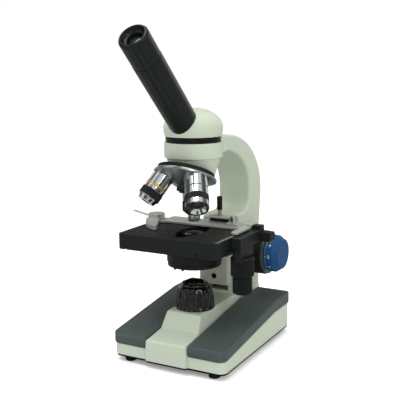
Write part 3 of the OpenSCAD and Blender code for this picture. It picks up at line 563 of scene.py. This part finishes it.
def numerals(side, place, radius, start, count):
    """The numbers 0 to 9 at the long strokes, as thin raised figures bent round the knob."""
    size, depth = 5.2, 0.04
    half_height = size * 0.35
    along = start + 6.4
    upright = 1 if side == "right" else -1
    bm = bmesh.new()
    for k in range(0, count, 5):
        curve = bpy.data.curves.new("figure", "FONT")
        curve.body = str(k // 5)
        curve.size = size
        curve.align_x = "CENTER"
        curve.extrude = depth
        figure = bpy.data.objects.new("figure", curve)
        bpy.context.scene.collection.objects.link(figure)
        bpy.context.view_layer.update()
        flat = bpy.data.meshes.new_from_object(figure.evaluated_get(bpy.context.evaluated_depsgraph_get()))
        turn = 2 * math.pi * k / count
        for vert in flat.vertices:
            angle = turn + upright * (vert.co.y - half_height) / radius
            reach = radius + vert.co.z
            vert.co = (place @ Vector((
                reach * math.cos(angle), reach * math.sin(angle), along + upright * vert.co.x
            ))) * MM
        bm.from_mesh(flat)
        bpy.data.objects.remove(figure)
        bpy.data.curves.remove(curve)
        bpy.data.meshes.remove(flat)
    bmesh.ops.remove_doubles(bm, verts=bm.verts, dist=0.001 * MM)
    name = f"fine_numbers_{side}"
    add_piece(name, finish_mesh(bm, name), ["marks"], "fine_drive")


# ---------- stage ----------

def make_stage():
    refined("stage_plate", 0.5, 3)
    refined("stage_carrier", 0.9, 3)
    refined("carrier_screw", 0.15)
    refined("condenser_housing", 0.4)
    refined("iris_ring", 0.3)
    refined("y_slide", 0, wide=(0.4, 2, lambda e: e.is_convex))
    refined("x_rail", 0.25)
    refined("drive_cover", 0.15)
    refined("slide_holder", 0.35)
    narrow = 26             # the carriage's solids that are narrower than this are black
    refined("x_carriage", 0.3, other=("satin_black", lambda lo, hi: hi.x - lo.x < narrow))
    refined("clip_finger", 0.3, look="clip_steel")
    screw = [(0, -0.5), (0.8, -0.5), (0.8, 0.3), (1.6, 0.3), (1.6, -0.9), (0, -0.9)]
    turned("front_screw", screw, frame_along((28, STAGE_LOW.y, 122), (0, -1, 0)), "plate", "stage",
           "black_anodised", soft=0.08, steps=32)
    make_stage_scale()
    make_stage_knobs()
    make_thumbscrews()


def make_stage_scale():
    """Graduations along the top of the stage's right edge: a long stroke every fifth."""
    first, last, pitch = -66.0, -30.0, 1.5
    count = int((last - first) / pitch) + 1
    edge, top = STAGE_HIGH.x, STAGE_HIGH.z
    boxes = []
    for k in range(count):
        length = 3.6 if k % 5 == 0 else 2.0
        boxes.append((Matrix.Translation((edge - 0.7 - length / 2, first + k * pitch, top + 0.01)),
                      (length / 2, 0.16, 0.03)))
    strips("stage_marks", boxes, "marks", "stage")


def make_stage_knobs():
    """Each knob has a ribbed grip up to top, and from there a shaft up to the node's own top."""
    for node, body, ribs, top, bore, shaft_r in (
        ("y_knob", "y_drive", 26, 112.6, 1.55, 2.8), ("x_knob", "x_drive", 24, 91.7, 0.0, 1.5),
    ):
        bottom, end, radius = low(node).z, high(node).z, high(node).x - STAGE_KNOB.x
        grip = [(bore, bottom), (radius - 1.6, bottom), (radius, bottom + 1.4), (radius, top - 1.2),
                (radius - 1, top), (bore, top)]
        turned(node + "_grip", grip, KNOBS, "satin_black", body, "satin_black", (node,), soft=0.35,
               ribs=(ribs, 0.9, bottom + 1.6, top - 1.3))
        shaft = tube_ring(bore, shaft_r, top - 0.5, end) if bore else disc(shaft_r, top - 0.5, end)
        turned(node + "_shaft", shaft, KNOBS, "steel", body, "satin_black", soft=0.2, steps=48)


def make_thumbscrews():
    tall = Vector(JOINTS["tall_screw_turn"]["pos_m"]) / MM
    short = Vector(JOINTS["short_screw_turn"]["pos_m"]) / MM
    tall_place = frame_along((tall.x, tall.y, 0), (0, 0, 1))
    short_place = frame_along((short.x, short.y, 0), (0, 0, 1))
    stem_r = 1.5
    foot, top = low("tall_thumbscrew").z, high("tall_thumbscrew").z
    collar = foot + 4.2
    grip_start = collar + 6.4
    outline = [(0, foot), (stem_r, foot), (stem_r, collar), (2.4, collar), (2.4, collar + 3),
               (1.8, collar + 3.4), (1.8, collar + 4.4), (2.4, collar + 4.8), (2.4, grip_start),
               (0, grip_start)]
    turned("tall_screw_collar", outline, tall_place, "brass", "tall_screw", "satin_black", soft=0.2, steps=48)
    turned("tall_screw_grip", disc(3.0, grip_start, top), tall_place, "satin_black", "tall_screw",
           "satin_black", ("tall_thumbscrew",), soft=0.5, ribs=(20, 0.3, collar + 7.2, top - 0.8))
    foot, top = low("short_thumbscrew").z, high("short_thumbscrew").z
    outline = [(0, foot), (stem_r, foot), (stem_r, foot + 5.5), (3, foot + 5.5), (3, foot + 6.6),
               (4, foot + 6.9), (4, top - 0.1), (3.2, top), (0, top)]
    turned("short_screw_body", outline, short_place, "chrome", "short_screw", "chrome",
           ("short_thumbscrew",), soft=0.3, ribs=(30, 0.3, foot + 7.4, top - 0.6))


# ---------- nosepiece ----------

def make_turret():
    """Distances run down the nosepiece's axis from the apex, so they are the CAD's with the sign turned."""
    ring_top, ring_low, rim, tip = 37.5, 42.0, 32.8, 59.66
    ring_r, bolt_r, hub_r = 29.8, 4.1, 6.4
    fall = math.tan(math.radians(24))           # the cone's slope
    ring = [(bolt_r, ring_top), (29.4, ring_top), (ring_r, ring_top + 0.4), (ring_r, ring_low - 0.1),
            (bolt_r, ring_low - 0.1)]
    turned("turret_grip", ring, NOSE, "satin_black", "turret", "satin_black", ("turret_ring",),
           ribs=(110, 0.3, ring_top + 0.5, ring_low - 0.2))
    cone = [(bolt_r, ring_low), (rim - 0.8, ring_low), (rim, ring_low + 0.8), (rim, tip - rim * fall),
            (14, tip - 14 * fall), (hub_r, tip - hub_r * fall), (hub_r, tip - 6), (bolt_r, tip - 6)]
    turned("turret_cone", cone, NOSE, "satin_chrome", "turret", "chrome", ("turret_shell",), soft=0.6)
    hub = [(0, tip - 3.8), (6.3, tip - 3.8), (6.3, tip + 0.2), (5.6, tip + 0.6), (3, tip + 0.9),
           (3, tip + 2.3), (2.5, tip + 2.4), (0, tip + 2.4)]
    turned("turret_hub", hub, NOSE, "gloss_black", "turret", "gloss_black", ("turret_cap",), soft=0.3,
           steps=64)


OBJECTIVE_BORE = 7.2


def bands(name, place, rows, slot="chrome"):
    """An objective's barrel from rows of (look, outer radius, start, end, knurled)."""
    for i, (look, outer, start, end, knurled) in enumerate(rows):
        ribs = (72, 0.28, start + 0.3, end - 0.3) if knurled else None
        turned(f"{name}_{i}_{look}", tube_ring(OBJECTIVE_BORE, outer, start, end), place, look, "turret",
               slot, ribs=ribs, soft=0.3)


def make_objectives():
    """Three barrels, each with a nose and a front lens. Distances run along each one's axis from the apex."""
    seat, bore = 52.0, OBJECTIVE_BORE
    # the long, working one
    place = objective_place(0)
    bands("long", place, [
        ("chrome", 12.0, seat, 67.9, False), ("satin_black", 11.7, 67.9, 68.8, False),
        ("satin_black", 12.3, 68.8, 79.0, True),
    ])
    nose = [(bore, 79), (12, 79), (10.5, 80.5), (7.4, 83), (6.6, 83), (6.2, 90), (3.2, 90), (3.2, 80),
            (bore, 79.5)]
    turned("long_nose", nose, place, "chrome", "turret", "chrome", ("objective_long",), soft=0.25)
    turned("long_front_lens", [(0, 85), (3.15, 85), (3.15, 88.5), (0, 89.2)], place, "lens", "turret",
           "glass", ("objective_lenses",), soft=0.1, steps=48)
    # the short one at the left
    place = objective_place(1)
    bands("short", place, [
        ("chrome", 11.3, seat, 65.9, False), ("gold", 11.35, 65.9, 68.0, False),
        ("chrome", 11.3, 68.0, 72.0, False), ("satin_black", 11.7, 72.0, 80.0, True),
    ])
    nose = [(bore, 80), (11.2, 80), (10.4, 81), (9, 85), (5, 85), (5, 78), (bore, 78)]
    turned("short_nose", nose, place, "chrome", "turret", "chrome", ("objective_short",), soft=0.25)
    turned("short_front_lens", [(0, 80), (4.95, 80), (4.95, 83.3), (0, 84.4)], place, "lens", "turret",
           "glass", soft=0.1, steps=48)
    # the medium one at the right
    place = objective_place(2)
    bands("medium", place, [
        ("chrome", 12.0, seat, 66.0, False), ("navy", 11.75, 66.0, 66.9, False),
        ("chrome", 12.0, 66.9, 75.0, False), ("satin_black", 12.3, 75.0, 81.5, True),
        ("chrome", 11.9, 81.5, 84.4, False),
    ])
    turned("medium_rim", tube_ring(10.4, 11.9, 84.4, 86.8), place, "chrome", "turret", "chrome", soft=0.3)
    nose = [(10.2, 86.8), (12, 86.8), (12, 88.2), (11, 90), (10.2, 90)]
    turned("medium_nose", nose, place, "gloss_black", "turret", "chrome", ("objective_medium",), soft=0.3)
    ring = [(4.6, 84.8), (10.1, 84.8), (10.1, 89.4), (9.4, 89.4), (6.4, 86.8), (4.6, 86.2)]
    turned("medium_inner_ring", ring, place, "chrome", "turret", "chrome", soft=0.15)
    turned("medium_front_lens", [(0, 84.6), (4.5, 84.6), (4.5, 86), (0, 87.6)], place, "lens", "turret",
           "glass", soft=0.1, steps=64)


# ---------- head ----------

def make_head():
    make_dome()
    make_tube()
    make_eyepiece()


def make_dome():
    """The enamelled dome, the black band under it and the set screw in its side."""
    foot, top, radius, swell, widest = 236.2, high("head_dome").z, 31.0, 1.4, 245.0
    rows, foot_rows = 28, 6
    dome = [(0, foot)]
    dome += [
        (radius - swell * (1 - k / foot_rows) ** 2, foot + (widest - foot) * k / foot_rows)
        for k in range(foot_rows + 1)
    ]
    for k in range(1, rows):
        turn = k * math.pi / 2 / rows
        dome.append((radius * math.cos(turn), widest + (top - widest) * math.sin(turn)))
    dome.append((0, top))
    turned("dome_shell", dome, UPRIGHT, "enamel", "head", "white_enamel", ("head_dome",), soft=0.12,
           steps=128)
    bore, band_foot, band_start, band_r = 14, 222.3, 230.2, 29
    band = [(bore, band_foot), (24, band_foot), (24, band_start), (28.6, band_start), (band_r, 230.6),
            (band_r, 235.8), (28.6, foot), (bore, foot)]
    turned("head_band", band, UPRIGHT, "band_black", "head", "gloss_black", ("head_ring",), steps=128)
    side = Matrix.Rotation(math.radians(-25.7), 3, "Z") @ Vector((1, 0, 0))
    seat = Vector((0, AXIS_Y, 238.6)) + side * 29.75
    screw = [(0, -0.6), (0.55, -0.6), (0.55, 0.15), (1.1, 0.15), (1.1, -1.2), (0, -1.2)]
    turned("head_set_screw", screw, frame_along(seat, side), "plate", "head", "gloss_black", soft=0.06,
           steps=24)


TUBE_JOINT = 119.0          # where the tube ends and the eyepiece's head begins
EYEPIECE_END = 150.0


def make_tube():
    turned("tube_shell", tube_ring(11.65, 15.15, 24, TUBE_JOINT), TUBE, "tube_black", "head", "black_tube",
           ("eyepiece_tube",), soft=0.35, steps=128)


def make_eyepiece():
    """The barrel in the tube, the head on top of it and two lenses."""
    joint, end = TUBE_JOINT, EYEPIECE_END
    radius, barrel, bore, eye_bore = 14.9, 11.6, 9.6, 8
    body = [(bore, 86), (barrel, 86), (barrel, joint + 0.2), (radius, joint + 0.2), (radius, end - 2.4),
            (13.8, end - 0.6), (12.6, end), (12.1, end), (10.6, end - 3.2), (9.4, end - 4.4),
            (eye_bore, end - 5), (eye_bore, 113), (bore, 111)]
    turned("eyepiece_shell", body, TUBE, "tube_black", "ocular", "black_tube", ("eyepiece",), soft=0.3,
           steps=128)
    lens_r, rim, rise = 7.9, end - 9, 2.2
    crown = [
        (lens_r * math.cos(math.radians(a)), rim + rise * math.sin(math.radians(a)))
        for a in range(10, 90, 10)
    ]
    lens = [(0, end - 13), (lens_r, end - 13), (lens_r, rim)] + crown + [(0, end - 6.8)]
    turned("eye_lens", lens, TUBE, "lens", "ocular", "glass", soft=0.1, steps=64)
    field = [(0, 88), (9.5, 88), (9.5, 90.4), (0, 91.2)]
    turned("field_lens", field, TUBE, "glass", "ocular", "glass", soft=0.1)


# ---------- the rest ----------

def make_small_parts():
    refined("switch_frame", 0.35)
    refined("switch_rocker", 0.3)
    refined("power_inlet", 0.25)
    for node in ("stage_screws", "plate_screws"):
        refined(node, 0.2)
    refined("condenser_lens", 0.2, look="lens")


def dress_cad_nodes():
    """Every CAD node that still shows gets the material of its slot."""
    for name, node in frame["nodes"].items():
        if not node.hide_render:
            node.data.materials.clear()
            node.data.materials.append(M[CAD_LOOK[SLOT_OF[name]]])


def light_up(tree):
    """Soft light from all round, with dark upright panels that only glossy rays see. The camera sees plain
    white."""
    def step(operation, first, second=None):
        node = tree.nodes.new("ShaderNodeMath")
        node.operation = operation
        for socket, value in zip(node.inputs, (first, second)):
            if isinstance(value, (int, float)):
                socket.default_value = value
            elif value is not None:
                tree.links.new(value, socket)
        return node.outputs[0]

    def remap(value, source, target):
        node = tree.nodes.new("ShaderNodeMapRange")
        node.interpolation_type = "SMOOTHSTEP"
        for name, number in zip(("From Min", "From Max", "To Min", "To Max"), source + target):
            node.inputs[name].default_value = number
        tree.links.new(value, node.inputs["Value"])
        return node.outputs["Result"]

    place = tree.nodes.new("ShaderNodeTexCoord")
    split = tree.nodes.new("ShaderNodeSeparateXYZ")
    tree.links.new(place.outputs["Generated"], split.inputs[0])
    azimuth = step("ARCTAN2", split.outputs["Y"], split.outputs["X"])
    count, turn, darkest, strength = 5, 0.7, 0.12, 0.86
    fade_from, fade_to = 0.6, 0.9           # heights between which the panels fade out
    panels = step("SINE", step("ADD", step("MULTIPLY", azimuth, count), turn))
    shade = remap(panels, (-0.5, 0.5), (darkest, 1.0))
    upper = remap(split.outputs["Z"], (fade_from, fade_to), (0.0, 1.0))
    shade = step("MAXIMUM", shade, upper)
    path = tree.nodes.new("ShaderNodeLightPath")
    darkness = step("MULTIPLY", step("SUBTRACT", 1.0, shade), path.outputs["Is Glossy Ray"])
    soft = step("MULTIPLY", step("SUBTRACT", 1.0, darkness), strength)
    background = tree.nodes["Background"]
    background.inputs["Color"].default_value = (1, 1, 1, 1)
    tree.links.new(step("MAXIMUM", path.outputs["Is Camera Ray"], soft), background.inputs["Strength"])


def floor_material():
    """Near-white in diffuse light, and lit a little from within to the camera. Only glossy rays see it with
    painted dark stripes, a painted reflection as from black cards laid round the object."""
    glow = 0.22
    material = surface("floor", (0.93, 0.93, 0.93), 0.8, tint=0.01, grain=None, sheen=0.0)
    tree = material.node_tree
    path = tree.nodes.new("ShaderNodeLightPath")
    lift = tree.nodes.new("ShaderNodeMath")
    lift.operation = "MULTIPLY"
    lift.inputs[1].default_value = glow
    tree.links.new(path.outputs["Is Camera Ray"], lift.inputs[0])
    shader = tree.nodes["Principled BSDF"]
    shader.inputs["Emission Color"].default_value = (1, 1, 1, 1)
    tree.links.new(lift.outputs[0], shader.inputs["Emission Strength"])
    dim = tree.nodes.new("ShaderNodeBsdfDiffuse")
    place = tree.nodes.new("ShaderNodeTexCoord")
    # painted reflection: wave stripes that polished parts show as dark bands, as from black cards
    painted_reflection_stripes = tree.nodes.new("ShaderNodeTexWave")
    painted_reflection_stripes.inputs["Scale"].default_value = 1.6
    painted_reflection_stripes.inputs["Distortion"].default_value = 1.5
    tree.links.new(place.outputs["Object"], painted_reflection_stripes.inputs["Vector"])
    shade = tree.nodes.new("ShaderNodeMapRange")
    for socket, value in (("From Min", 0.25), ("From Max", 0.75), ("To Min", 0.02), ("To Max", 0.6)):
        shade.inputs[socket].default_value = value
    tree.links.new(painted_reflection_stripes.outputs["Fac"], shade.inputs["Value"])
    tree.links.new(shade.outputs["Result"], dim.inputs["Color"])
    mix = tree.nodes.new("ShaderNodeMixShader")
    tree.links.new(path.outputs["Is Glossy Ray"], mix.inputs[0])
    tree.links.new(shader.outputs[0], mix.inputs[1])
    tree.links.new(dim.outputs[0], mix.inputs[2])
    tree.links.new(mix.outputs[0], tree.nodes["Material Output"].inputs["Surface"])
    return material


def add_stage_set():
    """A pale floor, the soft sky of light_up, and two area lights: one above, one at the right front."""
    bm = bmesh.new()
    bmesh.ops.create_grid(bm, x_segments=1, y_segments=1, size=6)
    mesh = bpy.data.meshes.new("floor")
    bm.to_mesh(mesh)
    bm.free()
    floor = bpy.data.objects.new("floor", mesh)
    bpy.context.scene.collection.objects.link(floor)
    mesh.materials.append(floor_material())
    world = bpy.data.worlds.new("studio")
    world.use_nodes = True
    light_up(world.node_tree)
    bpy.context.scene.world = world
    for name, spot, size, power in (
        ("overhead", (-0.1, -0.25, 1.5), 1.0, 13), ("right_front", (1.3, -0.9, 1.0), 0.5, 6),
    ):
        data = bpy.data.lights.new(name, "AREA")
        data.size = size
        data.energy = power
        light = bpy.data.objects.new(name, data)
        bpy.context.scene.collection.objects.link(light)
        aim = Vector((0, 0, 0.17)) - Vector(spot)
        light.matrix_world = Matrix.Translation(spot) @ aim.to_track_quat("-Z", "Y").to_matrix().to_4x4()
    bpy.context.scene.view_settings.view_transform = "Standard"


add_camera()
make_base()
make_lamp()
make_arm()
make_focus_knobs()
make_stage()
make_turret()
make_objectives()
make_head()
make_small_parts()
dress_cad_nodes()
add_stage_set()
